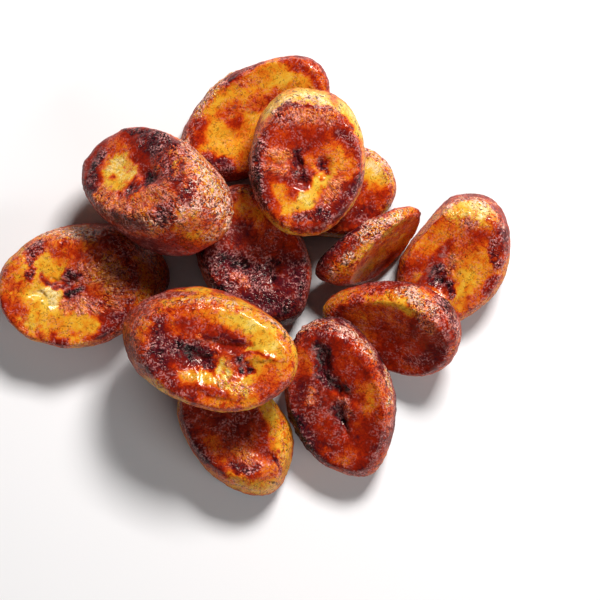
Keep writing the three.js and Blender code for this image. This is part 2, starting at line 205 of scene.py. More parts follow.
         at=(40.5, -16.1, 12), heading=-9, tipTo=-111, tip=42, taper=(0.12, 0), egg=0.25, seed=7,
         waviness=0.6, hollows=[(3, 1, 9, 4.5, 5, 1)], face=("orange", "red"), wall=("amber", "orange"),
         paint=[("red", 2.4, (0.4, 14.9, -0.6), (-6.4, 12.4, 3.6)),
                ("gold", 2.8, (-6.1, 11.3, 4.9), (1.1, 14.1, 4.6)),
                ("rosy", 3.6, (4, 15, 3), (10, 13.2, 5.8), (14, 9.5, 6.8)),
                ("gold", 2, (3, 13.5), (6.4, 11.6)), ("plum", 4, (16.3, 11.8, -1), (19.8, 7.8, 4)),
                ("red", 3, (16.3, 9.6, 6.5), (19.4, 4.3, 7.3)), ("red", 4, (-9.2, 5.8), (-3, 6.9)),
                ("orange", 3.4, (-9.5, 5), (-3, 6), (4, 4.6)), ("salmon", 2, (10.9, 5.6), (13.3, 9.7)),
                ("red", 2, (2.7, 8.2)), ("red", 5, (-0.7, -0.2), (4.5, -4.2)),
                ("maroon", 2.4, (8, -7.7), (14.3, -3.6), (17, 0))]),
    dict(node="slice_front_right", slot="dark_crust", long=26, short=16.5, thick=15,
         at=(24.5, -38.7, 12.9), heading=-78, tipTo=-120, tip=22, taper=(-0.08, 0), seed=8,
         hollows=[(-13.5, -1, 6, 2, -8, 2.2), (-4.5, 1.5, 4, 1.9, 35, 2), (5.5, 0, 4.8, 1.7, 8, 2.2),
                  (2, 4.5, 4, 1.8, 10, -0.9)],
         face=("orange", "red"), wall=("orange", "brown"),
         paint=[("maroon", 5, (-6, -9), (6, -11), (14, -9)), ("red", 5, (-14, 6), (-4, 5)),
                ("rosy", 3.6, (-24.4, -4.2, 3), (-21.7, 8, 5.6), (-12.5, 13.2, 7)),
                ("red", 3.6, (-20.8, -2.1), (-20.7, 3.5), (-16.3, 9.3)),
                ("char", 2.9, (-17.4, 0), (-9.8, -2), (-7, 0.2)), ("char", 1.3, (-4.2, 4.5)),
                ("char", 2.5, (2.1, -1), (5, -0.6), (9.1, 0.4)), ("salmon", 1.2, (-0.9, 2.2), (4, 3)),
                ("brown", 4, (-3.5, -6.4), (0, -9)), ("salmon", 1.4, (-5, -6), (-2, -8)),
                ("red", 4, (-6.9, 10.8), (-12.2, 10.6)), ("orange", 3, (-2.8, 10), (3.2, 10.5)),
                ("amber", 1.7, (0, 10.8), (4, 9.8)), ("red", 3.2, (6.5, 12.6), (10, 8.8)),
                ("red", 4, (7, -4.5), (12, 2.5)), ("orange", 2.4, (15.4, -7.6), (18.9, -3.2)),
                ("red", 3.2, (18.4, 8.9), (22, 3.5)), ("pink", 1.8, (-6.3, 16, -0.9), (2.2, 16.1, 4.8)),
                ("char", 4.6, (1.8, -16.2, 4.9), (11.5, -13.7, 4.8))]),
    dict(node="slice_front_left", slot="red_brown_crust", long=22.5, short=15.3, thick=17,
         at=(-8.5, -47.9, 8.4), heading=-58, tipTo=92, tip=1, slant=(-0.2, 0), seed=2,
         hollows=[(-2, 0, 7, 3, 0, 1.2), (8, 1, 5, 2, 10, 1), (15.6, 4.5, 2.5, 1.8, 40, 1.2)],
         face=("orange", "brown"), wall=("gold", "amber"),
         # partly painted shadow: the maroon and brown strokes on the side under slice_front_upper darken
         # where its shadow falls
         paint=[("maroon", 5, (-14, -3), (-9, -8)), ("brown", 6, (-8.5, -10), (-0.4, -0.5)),
                ("orange", 4, (6.9, -9.6), (1, -10.2)),
                ("plum", 2.4, (11.4, -6.5), (14.4, -3.8), (14.8, -0.9)),
                ("salmon", 2.2, (10.6, -2.5), (7.9, -2.3)), ("red", 3, (7, 6.4), (12.3, 4.4)),
                ("char", 1.2, (15.6, 4.5)), ("orange", 2.6, (18, 1.9), (18.5, -0.7)),
                ("gold", 3, (11, 12.5, 6.7), (15.5, 9.8, 6.2), (19.2, 7.3, -3)),
                ("gold", 2.8, (-5, 12.5), (6, 11.5), (13, 8.6)),
                ("brown", 0.9, (15, 6.9, 8.2), (20.4, 4.2, 6)),
                ("gold", 2.6, (12.8, -10, 7.5), (20.4, -3, 6.7), (22.8, 1, 2)),
                ("maroon", 1.8, (5.1, -12.9), (-2.1, -13.5))]),
    dict(node="slice_front_upper", slot="golden_crust", long=26, short=17.5, thick=19,
         at=(-16, -24.5, 26.6), heading=-12, tipTo=-59, tip=3, slant=(0.33, -0.28), seed=10, waviness=0.7,
         hollows=[(-3.8, -2.6, 5.4, 3.2, -6, 2.6), (9.2, -1.6, 2.6, 2, 0, 1.5), (3, 3.7, 7, 1.5, 6, 1.3),
                  (15, 3.3, 5.5, 1.4, 17, -0.9), (3, -9.7, 10, 2, 0, -1)],
         face=("amber", "orange"), wall=("gold", "orange"),
         paint=[("plum", 0.8, (-22.5, 8.8, 0), (-19.8, 9.3, 7), (-15.8, 8.9, 9)),
                ("gold", 4.4, (-16.3, 12.4, 6), (-5.2, 15.6, 6.5), (8.6, 16.5, 3)),
                ("brown", 2.4, (-19.7, 11, -2), (-8.8, 16.2, 4.4)),
                ("pink", 1.8, (-10.8, 10.8), (-1.8, 13.7), (3.7, 14)),
                ("pink", 2, (3.7, 14, 9), (16.4, 12.2, 6.9), (23.8, 8, 2.9)),
                ("amber", 4, (-13.9, 7.8), (-1, 10.6)), ("gold", 4, (3.3, 10.6), (10.7, 10.3), (16.7, 9)),
                ("yellow", 2.6, (6, 9.5), (14, 8.5), (16, 5)), ("gold", 3.4, (15, 5.8), (19.2, 3)),
                ("red", 2.4, (-9.9, 5.6), (-1.9, 4.6), (6.7, 3.5)),
                ("maroon", 1.1, (-2.2, 3.2), (3, 2.8), (8.7, 4.1)), ("salmon", 1.2, (-3.8, 2.2)),
                ("maroon", 3, (-17, 3.5), (-15, 0.3), (-15.8, -3.8), (-14.6, -8), (-10, -10.7)),
                ("plum", 1.3, (-18, 2), (-17.5, -5)), ("plum", 2, (-14.5, -1), (-13, -7)),
                ("maroon", 3.4, (-12.5, -2.5), (-9, -5), (-4, -6.5)),
                ("char", 3.3, (-8, -1.8), (-3.7, -2.6), (0.4, -3.6)), ("char", 1.5, (9.5, -1.5)),
                ("red", 1.3, (2.7, 1.6), (7.5, 1)), ("yellow", 1.2, (10.9, 2), (15, 3.3), (19, 4.7)),
                ("red", 0.9, (10, 0.2), (18.3, 1.7)), ("gold", 3.4, (14.3, -2.2), (14.2, -6.2)),
                ("cream", 2.2, (4.7, -3.5), (6.7, -7)), ("salmon", 1.4, (7.4, -3.5)),
                ("gold", 2.2, (-4.6, -9.6), (3.2, -9.5)), ("pink", 1.6, (6.9, -9.9), (13, -10.4)),
                ("red", 1.8, (-2.7, -12.8), (2.4, -13.3), (7.9, -12.6)),
                ("orange", 2.6, (19, -3.2), (18.2, -8.6)),
                ("maroon", 2, (-15.5, -10), (-8.8, -13.6), (-1.2, -15.4)),
                ("amber", 3, (-21.9, 1.5, 9), (-20, -1.2, 9)),
                ("orange", 3, (-24.9, -1, 7), (-21.3, -7.3, 7.5)), ("salmon", 1.4, (-19, -6.3, 9))]),
]

tableSide = 64  # the random tables repeat after this many cells

# Each pattern draws its own random numbers, by the slice's seed and this number.
patternSeeds = {"mottle": 1, "warpX": 2, "warpY": 3, "warpZ": 4, "fray": 5, "strands": 6, "puffs": 7,
                "fleck": 8, "lumps": 9, "crest": 10, "bendX": 20, "bendY": 21}


def ramp(low, high, value):
    # 0 up to low, 1 from high on and an S curve, share^2 (3 - 2 share), in between; high may be the smaller
    share = np.clip((value - low) / (high - low), 0, 1)
    return share * share * (3 - 2 * share)


def cloud(points, cell, cut, pattern, octaves=2):
    # random numbers from -1 to 1 on a cubic lattice, blended by S curves, plus half as much at half the cell
    # for each further octave
    total = np.zeros(points.shape[:-1])
    for octave in range(octaves):
        seed = (cut["seed"], patternSeeds[pattern], octave)
        table = np.random.default_rng(seed).uniform(-1, 1, (tableSide,) * 3)
        spot = points * 2 ** octave / cell
        corner = np.floor(spot).astype(int)
        share = ramp(0, 1, spot - corner)
        for step in np.ndindex(2, 2, 2):
            weight = np.prod(np.where(step, share, 1 - share), axis=-1)
            total += weight * table[tuple(np.moveaxis((corner + step) % tableSide, -1, 0))] / 2 ** octave
    return total


# How finely each slice is meshed. Rings crowd towards the cut face on top.
grid = {"around": 288, "down": 136, "crowding": 1.25}

# The rounded-box side profile that all slices share.
profile = {"facePower": 7, "wallPower": 3.2, "radius": 20, "halfThickness": 10, "samples": 4001}


def sideProfile():
    # radius |cos t|^(2/face) and height sign(sin t)|sin t|^(2/wall) for t from a quarter turn up to one down,
    # taken at lengths along the curve that grow as share^crowding
    turn = np.linspace(math.pi / 2, -math.pi / 2, profile["samples"])
    radius = np.abs(np.cos(turn)) ** (2 / profile["facePower"])
    height = np.sign(np.sin(turn)) * np.abs(np.sin(turn)) ** (2 / profile["wallPower"])
    radius[0] = radius[-1] = 0
    run = np.hypot(np.diff(radius) * profile["radius"], np.diff(height) * profile["halfThickness"])
    travelled = np.append(0, np.cumsum(run))
    wanted = travelled[-1] * np.linspace(0, 1, grid["down"] + 2) ** grid["crowding"]
    return [np.interp(wanted, travelled, line)[:, None] for line in (radius, height, travelled)]


# Waves that make each outline uneven, as shares of the radius, and the series that seeds them.
waves = {"counts": (2, 3, 4, 5, 6), "depth": 0.022, "leastDepth": 0.4, "twist": 1.4,
         "seedStep": 7919, "seedStart": 11, "factor": 16807, "limit": 2147483647}


def waveDraws(cut):
    # each state is the last one times the factor, less whole limits, and each draw is its share of the limit,
    # so that the waves come out as in the solids
    state = cut["seed"] * waves["seedStep"] + waves["seedStart"]
    while True:
        state = state * waves["factor"] % waves["limit"]
        yield state / waves["limit"]


def outlineWave(cut, angle, height):
    # the sum of cosines of a few counts, each with its own seeded depth, phase and twist with height
    draws = waveDraws(cut)
    least = waves["leastDepth"]
    total = 0
    for count in waves["counts"]:
        depth = cut["waviness"] * waves["depth"] * (least + (1 - least) * next(draws)) / math.sqrt(count / 2)
        phase = 2 * math.pi * next(draws)
        twist = waves["twist"] * (next(draws) - 0.5)
        total = total + depth * np.cos(count * angle + phase + twist * height)
    return total


def hollowShare(hollow, x, y):
    # exp(-(along / half length)^2 - (across / half width)^2) about the hollow's middle
    middleX, middleY, halfLength, halfWidth, degrees, _ = hollow
    turn = math.radians(degrees)
    along = (x - middleX) * math.cos(turn) + (y - middleY) * math.sin(turn)
    across = (y - middleY) * math.cos(turn) - (x - middleX) * math.sin(turn)
    return np.exp(-(along / halfLength) ** 2 - (across / halfWidth) ** 2)


# How softly a pressed side gives way to its flat, in mm.
pressSoftness = 1.5


def pressedIn(pressed, x, y):
    # what stands beyond the flat, over, moves back by over^2 / (over + softness)
    degrees, reach = pressed
    turn = math.radians(degrees)
    over = np.maximum(x * math.cos(turn) + y * math.sin(turn) - reach, 0)
    back = over ** 2 / (over + pressSoftness)
    return x - back * math.cos(turn), y - back * math.sin(turn)


# How far, in mm, noise of this cell bends the edges of the seed hollows.
bend = {"mm": 0.9, "cell": 2.2}

# The sunk seed core and the raised rim of a cut face, as shares of the radius and of the half thickness.
faceForm = {"coreReach": 0.5, "rimPlace": 0.84, "rimWidth": 0.1, "start": 0.3}


def sliceSurface(cut):
    # x = long r cos a, y = short r sin a and z = half thickness times height, for the profile's r and height
    # at each angle a, with waves and taper, the face's core, rim and hollows added to z, then slanted by z
    radius, height, travelled = sideProfile()
    angle = 2 * math.pi * np.arange(grid["around"])[None, :] / grid["around"]
    reach = radius * (1 + outlineWave(cut, angle, height) * radius ** 2)
    x = cut["long"] * reach * np.cos(angle)
    y = cut["short"] * reach * np.sin(angle) * (1 + cut["egg"] * radius * np.cos(angle))
    if cut["pressed"]:
        x, y = pressedIn(cut["pressed"], x, y)
    z = height * cut["thick"] / 2 + (height + 1) / 2 * (cut["taper"][0] * x + cut["taper"][1] * y)
    relief = -cut["core"] * np.exp(-(radius / faceForm["coreReach"]) ** 2)
    relief = relief + cut["rim"] * np.exp(-((radius - faceForm["rimPlace"]) / faceForm["rimWidth"]) ** 2)
    flat = np.stack([x, y, z], -1)
    bent = [bend["mm"] * cloud(flat, bend["cell"], cut, pattern) for pattern in ("bendX", "bendY")]
    shares = [hollowShare(hollow, x + bent[0], y + bent[1]) for hollow in cut["hollows"]]
    for (*_, depth), share in zip(cut["hollows"], shares):
        relief = relief - depth * share
    onFace = np.clip((height - faceForm["start"]) / (1 - faceForm["start"]), 0, 1)
    z = z + onFace * relief
    x = x + cut["slant"][0] * z
    y = y + cut["slant"][1] * z
    wide = np.ones_like(x)
    return {"at": np.stack([x, y, z], -1), "radius": radius * wide, "height": height * wide,
            "angle": angle * wide, "run": travelled * wide, "sunk": [share * onFace for share in shares]}


def normalsOf(at):
    # the cross product of the steps down and round the grid; the poles take the mean of the ring beside them
    down = np.gradient(at, axis=0)
    around = np.roll(at, -1, axis=1) - np.roll(at, 1, axis=1)
    normal = np.cross(down, around)
    normal[0] = normal[1].mean(axis=0)
    normal[-1] = normal[-2].mean(axis=0)
    return normal / np.linalg.norm(normal, axis=-1, keepdims=True)


def turnMatrix(axis, degrees):
    # Rodrigues' rotation about a unit axis
    x, y, z = axis
    across = np.array([[0, -z, y], [z, 0, -x], [-y, x, 0]])
    angle = math.radians(degrees)
    return np.eye(3) + math.sin(angle) * across + (1 - math.cos(angle)) * across @ across


def placed(cut, at):
    # heading about the upright, then the tip over a level axis, then the place, pressed flat on the table
    tipTo = math.radians(cut["tipTo"])
    turned = turnMatrix((0, 0, 1), cut["heading"])
    turn = turnMatrix((-math.sin(tipTo), math.cos(tipTo), 0), cut["tip"]) @ turned
    world = at @ turn.T + cut["at"]
    world[..., 2] = np.maximum(world[..., 2], 0)
    return world


# How the browning spreads. Names in Mm are cell sizes, and warped is how far strokes are bent, in mm. Two
# numbers are from where to where something grows: in noise for Patches and Flecks, in a stroke's half widths
# for strokeFade and in half thicknesses for the rest.
browning = {"patchMm": 8, "frayMm": 2, "fleckMm": 0.9, "warpMm": 3.4, "warped": 1.1,
            "wallPatches": (-0.5, 0.6), "facePatches": (-0.5, 0.5), "backPatches": (-0.4, 0.6),
            "faceFrom": (0.72, 0.9), "faceFray": 0.04, "back": ("orange", "brown"),
            # painted shade: the underside pair on the next line darkens the lower half of the wall
            "undersideShade": 0.3, "undersideShadeFrom": (0.2, -0.7),
            "strokeFade": (1.45, 0.3), "ragged": 0.28, "flecked": 0.35, "broken": 0.5,
            "brokenFlecks": (0.05, 0.5), "strokeFrom": (0.35, 0.75),
            "rimAt": 0.85, "rimWidth": 0.07, "rimDarker": 0.1, "rimPatches": (-0.6, 0.6), "rimCrust": 0.2,
            "patchy": 0.07, "frayed": 0.05}

# The stain in the deeper seed hollows, and the burnt heart inside it. Two numbers are from where to where it
# grows: in shares of the hollow's depth, and in noise for Flecks.
seedStain = {"leastDepth": 1.35, "tone": "maroon", "weight": 0.6, "sunk": (0.2, 0.8), "fray": 0.35,
             "heartTone": "char", "heartWeight": 0.9, "heartSunk": (0.6, 1.0), "heartFray": 0.5,
             "heartBroken": 0.3, "heartFlecks": (0, 0.5)}


def brush(coat, weight, tone):
    # moves level, fibre, crust and glaze towards the tone by the weight
    coat += weight[..., None] * (np.array(tones[tone]) - coat)


def strokeGap(at, points):
    # distance to the nearest point of the line through the points; two numbers stand for a line on the face
    where = at[..., :len(points[0])]
    ends = np.array(points, float)
    gap = np.linalg.norm(where - ends[0], axis=-1)
    for start, end in zip(ends[:-1], ends[1:]):
        share = np.clip((where - start) @ (end - start) / ((end - start) @ (end - start)), 0, 1)
        gap = np.minimum(gap, np.linalg.norm(where - start - share[..., None] * (end - start), axis=-1))
    return gap


def baseTones(cut, height, mottle, fray):
    # the wall's tone, then the face's above a frayed height and the back's below one, each with a second
    # tone in patches, and all darker underneath as painted shade
    coat = np.zeros(height.shape + (4,)) + np.array(tones[cut["wall"][0]])
    brush(coat, ramp(*browning["wallPatches"], mottle), cut["wall"][1])
    face = ramp(*browning["faceFrom"], height + browning["faceFray"] * fray)
    brush(coat, face, cut["face"][0])
    brush(coat, face * ramp(*browning["facePatches"], mottle), cut["face"][1])
    back = ramp(*browning["faceFrom"], browning["faceFray"] * fray - height)
    brush(coat, back, browning["back"][0])
    brush(coat, back * ramp(*browning["backPatches"], mottle), browning["back"][1])
    # painted shade: the lower half of the wall is made darker
    coat[..., levelAt] += browning["undersideShade"] * ramp(*browning["undersideShadeFrom"], height)
    return coat


def paintStrokes(cut, coat, ragged, height, fray, fleck):
    # each stroke's weight fades with the gap / half width, torn by the fray, and flecks break crusty ones
    for tone, width, *points in cut["paint"]:
        crusty = tones[tone][crustAt]
        torn = browning["ragged"] + browning["flecked"] * crusty
        weight = ramp(*browning["strokeFade"], strokeGap(ragged, points) / width + torn * fray)
        weight = weight * (1 - browning["broken"] * crusty * ramp(*browning["brokenFlecks"], fleck))
        onFace = ramp(*browning["strokeFrom"], height) if len(points[0]) == 2 else 1
        brush(coat, weight * onFace, tone)


def stainHollows(cut, form, coat, fray, fleck):
    # weight x ramp(sunk + fray) of one tone, then of a darker one further in, broken by flecks
    broken = seedStain["heartBroken"] * ramp(*seedStain["heartFlecks"], fleck)
    for (*_, depth), sunk in zip(cut["hollows"], form["sunk"]):
        if depth > seedStain["leastDepth"]:
            stain = ramp(*seedStain["sunk"], sunk + seedStain["fray"] * fray)
            brush(coat, seedStain["weight"] * stain, seedStain["tone"])
            heart = ramp(*seedStain["heartSunk"], sunk + seedStain["heartFray"] * fray - broken)
            brush(coat, seedStain["heartWeight"] * heart, seedStain["heartTone"])


def browned(cut, form):
    # base tones, then strokes, stained hollows, a thin darker rim exp(-((height - place) / width)^2) and
    # patches all over
    at, height = form["at"], form["height"]
    mottle = cloud(at, browning["patchMm"], cut, "mottle", octaves=3)
    fray = cloud(at, browning["frayMm"], cut, "fray")
    fleck = cloud(at, browning["fleckMm"], cut, "fleck")
    warp = [cloud(at, browning["warpMm"], cut, pattern, octaves=3) for pattern in ("warpX", "warpY", "warpZ")]
    ragged = at + browning["warped"] * np.stack(warp, -1)
    coat = baseTones(cut, height, mottle, fray)
    paintStrokes(cut, coat, ragged, height, fray, fleck)
    stainHollows(cut, form, coat, fray, fleck)
    rim = np.exp(-((np.abs(height) - browning["rimAt"]) / browning["rimWidth"]) ** 2)
    coat[..., levelAt] += browning["rimDarker"] * rim * ramp(*browning["rimPatches"], fray + mottle)
    coat[..., crustAt] += browning["rimCrust"] * rim
    coat[..., levelAt] += browning["patchy"] * mottle + browning["frayed"] * fray
    return coat


# Relief in mm: puffs with sharp creases where the crust is strong, strands on fibrous flesh, lumps all over,
# and a curled crest round the face. Names in Mm are cell sizes, and two numbers are from where to where
# something grows.
reliefSizes = {"lumpMm": 6.5, "lump": 0.30,
               "puffMm": 2.0, "puff": 0.62, "puffMiddle": 0.3, "creaseWidth": 0.15, "crease": 0.15,
               "wallUpTo": (0.7, 0.9), "wallCrust": 0.2,
               "strandMm": 1.2, "strand": 0.22, "skinStrand": 0.10, "strandRadius": 20, "strandRun": 0.16,
               "spokesFrom": (0.15, 0.4),
               "crestAt": 0.88, "crestWidth": 0.05, "crest": 0.35, "crestMm": 4, "crestPatches": (-0.8, 0.5)}


def surfaceDetail(cut, form, coat):
    # lumps + crust^2 x (puffs - creases) + strands + a crest exp(-((height - place) / width)^2), in patches
    at, angle, height = form["at"], form["angle"], form["height"]
    size = reliefSizes
    wall = 1 - ramp(*size["wallUpTo"], np.abs(height))
    crust = np.clip(coat[..., crustAt] + size["wallCrust"] * wall, 0, 1)
    puffs = np.abs(cloud(at, size["puffMm"], cut, "puffs"))
    crease = 1 - ramp(0, size["creaseWidth"], puffs)
    around = size["strandRadius"] * np.cos(angle), size["strandRadius"] * np.sin(angle)
    strandAt = np.stack([*around, size["strandRun"] * form["run"]], -1)  # long cells, out and down
    strands = cloud(strandAt, size["strandMm"], cut, "strands")
    spokes = ramp(*size["spokesFrom"], form["radius"]) * (1 - wall)
    crest = np.exp(-((height - size["crestAt"]) / size["crestWidth"]) ** 2)
    relief = size["lump"] * cloud(at, size["lumpMm"], cut, "lumps")
    relief += crust ** 2 * (size["puff"] * (puffs - size["puffMiddle"]) - size["crease"] * crease)
    relief += strands * (size["skinStrand"] * wall + size["strand"] * coat[..., fibreAt] * spokes)
    relief += size["crest"] * crest * ramp(*size["crestPatches"], cloud(at, size["crestMm"], cut, "crest"))
    return relief, crust, wall, crease, strandAt


def gridMesh(name, at):
    # quads between the rings, a fan at each pole, faces outwards
    rings, around = at.shape[0] - 2, at.shape[1]
    points = np.concatenate([at[0, :1], at[1:-1].reshape(-1, 3), at[-1, :1]])
    ring, side = np.meshgrid(np.arange(rings - 1), np.arange(around), indexing="ij")
    nextSide = (side + 1) % around
    quads = 1 + np.stack([ring * around + side, (ring + 1) * around + side,
                          (ring + 1) * around + nextSide, ring * around + nextSide], -1).reshape(-1, 4)
    here = np.arange(around)
    there = (here + 1) % around
    lowRing = 1 + (rings - 1) * around
    topFan = np.stack([np.zeros(around, int), 1 + here, 1 + there], -1)
    lowFan = np.stack([np.full(around, len(points) - 1), lowRing + there, lowRing + here], -1)
    mesh = bpy.data.meshes.new(name)
    corners = np.concatenate([topFan.ravel(), quads.ravel(), lowFan.ravel()])
    sizes = np.concatenate([np.full(around, 3), np.full(len(quads), 4), np.full(around, 3)])
    mesh.vertices.add(len(points))
    mesh.vertices.foreach_set("co", points.astype(np.float32).ravel())
    mesh.loops.add(len(corners))
    mesh.loops.foreach_set("vertex_index", corners.astype(np.int32))
    mesh.polygons.add(len(sizes))
    mesh.polygons.foreach_set("loop_start", np.append(0, np.cumsum(sizes)[:-1]).astype(np.int32))
    mesh.polygons.foreach_set("use_smooth", np.ones(len(sizes), bool))
    mesh.update()
    mesh.validate()
    return mesh


def storeAttribute(mesh, name, values):
    # one vector per point, in gridMesh's order
    ordered = np.concatenate([values[0, :1], values[1:-1].reshape(-1, 3), values[-1, :1]])
    attribute = mesh.attributes.new(name, "FLOAT_VECTOR", "POINT")
    attribute.data.foreach_set("vector", ordered.astype(np.float32).ravel())


class Field:
    # one socket; arithmetic on it adds Math nodes
    def __init__(self, finish, socket):
        self.finish = finish
        self.socket = socket

    def math(self, operation, *values):
        inputs = dict(zip(("Value", "Value_001", "Value_002"), values))
        return self.finish.node("ShaderNodeMath", {"operation": operation}, inputs)["Value"]

    def __add__(self, other):
        return self.math("ADD", self, other)

    def __radd__(self, other):
        return self.math("ADD", other, self)

    def __sub__(self, other):
        return self.math("SUBTRACT", self, other)

    def __rsub__(self, other):
        return self.math("SUBTRACT", other, self)

    def __mul__(self, other):
        return self.math("MULTIPLY", self, other)

    def __rmul__(self, other):
        return self.math("MULTIPLY", other, self)

    def __abs__(self):
        return self.math("ABSOLUTE", self)

    def between(self, low, high):
        # 0 at low, 1 at high, an S curve between
        settings = {"interpolation_type": "SMOOTHSTEP"}
        inputs = {"Value": self, "From Min": low, "From Max": high}
        return self.finish.node("ShaderNodeMapRange", settings, inputs)["Result"]


class Finish:
    # one material; node() takes a type, its settings and its inputs, and gives its outputs by name
    def __init__(self, name):
        self.material = bpy.data.materials.new(name)
        self.material.use_nodes = True
        self.tree = self.material.node_tree
        self.tree.nodes.clear()

    def node(self, kind, settings=None, inputs=None):
        made = self.tree.nodes.new(kind)
        for name, value in (settings or {}).items():
            if name == "stops":
                self.setStops(made.color_ramp, value)
            else:
                setattr(made, name, value)
        sockets = {socket.identifier: socket for socket in made.inputs}
        for name, value in (inputs or {}).items():
            if isinstance(value, Field):
                self.tree.links.new(value.socket, sockets[name])
            else:
                sockets[name].default_value = value
        return {socket.identifier: Field(self, socket) for socket in made.outputs}

    def setStops(self, band, stops):
        # a colour ramp's stops, from first to last
        for place, _ in stops[2:]:
            band.elements.new(place)
        for element, (place, colour) in zip(band.elements, stops):
            element.position = place
            element.color = colour

    def scaled(self, colour, factor):
        inputs = {"Vector": colour, "Scale": factor}
        return self.node("ShaderNodeVectorMath", {"operation": "SCALE"}, inputs)["Vector"]

    def mixed(self, factor, first, second):
        inputs = {"Factor_Float": factor, "A_Color": first, "B_Color": second}
        return self.node("ShaderNodeMix", {"data_type": "RGBA"}, inputs)["Result_Color"]

    def objectSpot(self):
        return self.node("ShaderNodeTexCoord")["Object"]

    def noise(self, where, scale, detail=2.0, distortion=0.0):
        inputs = {"Vector": where, "Scale": scale, "Detail": detail, "Distortion": distortion}
        return self.node("ShaderNodeTexNoise", {}, inputs)["Fac"]

    def ridges(self, where, *kind):
        # 0 along wavy lines, where the noise crosses its middle, and more away from them
        return abs(self.noise(where, *kind) - noiseMiddle)

    def attribute(self, name):
        return self.node("ShaderNodeAttribute", {"attribute_name": name})["Vector"]

    def threeParts(self, name):
        # the three numbers of a stored attribute
        parts = self.node("ShaderNodeSeparateXYZ", {}, {"Vector": self.attribute(name)})
        return parts["X"], parts["Y"], parts["Z"]

    def close(self, shader):
        self.node("ShaderNodeOutputMaterial", {}, {"Surface": shader})


def linear(red, green, blue):
    # sRGB from 0 to 255 with its curve undone
    undone = [c / 3294.6 if c <= 10 else ((c / 255 + 0.055) / 1.055) ** 2.4 for c in (red, green, blue)]
    return (*undone, 1.0)


noiseMiddle = 0.5  # what a Noise node gives on average

# The crust's patterns. Noise is cells per mm, then detail and distortion. Other pairs are from where to where
# something grows or fades: in frying levels for names in Level, and in noise, crust or cells for the rest.
crustPattern = {
    "fineNoise": (0.95, 2.5), "grainNoise": (1.6,), "clusterNoise": (0.22,), "strandNoise": (1.5, 3.0),
    "foldNoise": (0.62, 1.0, 0.6), "foldSteepness": 5.0, "foldLine": (0.0, 0.35),
    "wormNoise": (0.5, 1.5, 0.9), "wormLine": (0.03, 0.12), "wormCrust": (0.4, 0.85), "wormGrain": (0.3, 0.5),
    "glintLevel": (0.5, 0.7), "glintGrain": (0.44, 0.58), "glintCluster": (0.42, 0.56),
    "burntLevel": (0.92, 1.05), "palerLevel": (0.5, 0.85), "valleyLevel": (0.55, 0.85),
    "strandLine": (0.44, 0.6),
    "speckPerMm": 0.9, "speckSize": (0.144, 0.24), "speckLevel": (0.45, 0.8), "speckFine": (0.46, 0.54),
    "sparseNoise": (0.35,), "sparse": (0.42, 0.56),
    "crackNoise": (0.5, 1.0, 1.4), "crackLine": (0.018, 0.058), "crackLevel": (0.6, 0.85),
    "dashNoise": (0.7, 1.0), "dash": (0.47, 0.54),
}

# The colour at each level of frying and of each pattern, with its share or how many levels darker it makes
# the crust, and how the crust takes the light.
# painted light: the worm colour is partly painted highlight, the glint colour is painted highlight, and the
# valley darkening is partly painted shade
crustLook = {
    "fried": ((0.0, (238, 216, 156)), (0.13, (224, 184, 66)), (0.27, (218, 152, 36)), (0.41, (212, 112, 22)),
              (0.54, (192, 64, 10)), (0.67, (152, 31, 8)), (0.79, (110, 22, 13)), (0.89, (80, 18, 28)),
              (1.0, (22, 8, 12))),
    "mottle": 0.07, "crustMottle": 0.2, "strandMottle": 0.12, "fibreMottle": 0.2,
    "lineDarker": 0.42, "creaseDarker": 0.3, "puffPaler": 0.07, "valleyFade": 0.6,
    "strandColour": (228, 150, 112), "strandShare": 0.6,
    "wormSheenColour": (250, 208, 184), "wormShare": 1.0,
    "glintColour": (232, 160, 156), "glintShare": 0.75, "glintOnBrown": 0.12, "burntFade": 0.85,
    "speckColour": (52, 16, 8), "speckShare": 0.8, "crackShare": 0.9, "crackOnFace": 0.5,
    "bumpHeight": 0.0008, "foldBump": 0.35, "wormBump": 0.4, "strandBump": 0.03, "fibreBump": 0.25,
    "fineBump": 0.04,
    "rough": 0.13, "roughMottle": 0.16, "edgeRough": 0.65,
    "coat": 0.15, "coatRoughness": 0.06, "coatFade": (0.35, 0.8),
    "specular": 0.3, "specularTint": (1.0, 0.8, 0.68, 1.0),
    "subsurface": 0.1, "subsurfaceRadius": (1.0, 0.35, 0.12), "subsurfaceReach": 0.003,
}


def crustFields(finish):
    # the stored browning, and the noise patterns that colour and bump share
    pattern = crustPattern
    field = SimpleNamespace(spot=finish.scaled(finish.objectSpot(), 1 / mm))
    field.level, field.fibrous, field.glaze = finish.threeParts("cook")
    field.crust, field.wall, field.crease = finish.threeParts("skin")
    field.strand = finish.noise(finish.attribute("strand"), *pattern["strandNoise"])
    field.fine = finish.noise(field.spot, *pattern["fineNoise"])
    field.grain = finish.noise(field.spot, *pattern["grainNoise"])
    field.fold = finish.ridges(field.spot, *pattern["foldNoise"]) * pattern["foldSteepness"]  # sharp valleys
    field.line = 1 - field.fold.between(*pattern["foldLine"])
    field.worm = 1 - finish.ridges(field.spot, *pattern["wormNoise"]).between(*pattern["wormLine"])
    return field


def friedLevel(field):
    # the level of frying, mottled, darker in the valleys between puffs (partly the crust's own colour and
    # partly painted shade) and along strands
    look = crustLook
    grainy = look["mottle"] + look["crustMottle"] * field.crust
    fried = field.level + (field.fine - noiseMiddle) * grainy
    # partly painted shade: the crust is made darker in the fold lines and the creases between puffs
    valleys = field.line * look["lineDarker"] + field.crease * look["creaseDarker"] - look["puffPaler"]
    deep = field.level.between(*crustPattern["valleyLevel"])
    fried = fried + field.crust * valleys * (1 - look["valleyFade"] * deep)
    stringy = look["strandMottle"] + look["fibreMottle"] * field.fibrous
    return fried + (field.strand - noiseMiddle) * stringy


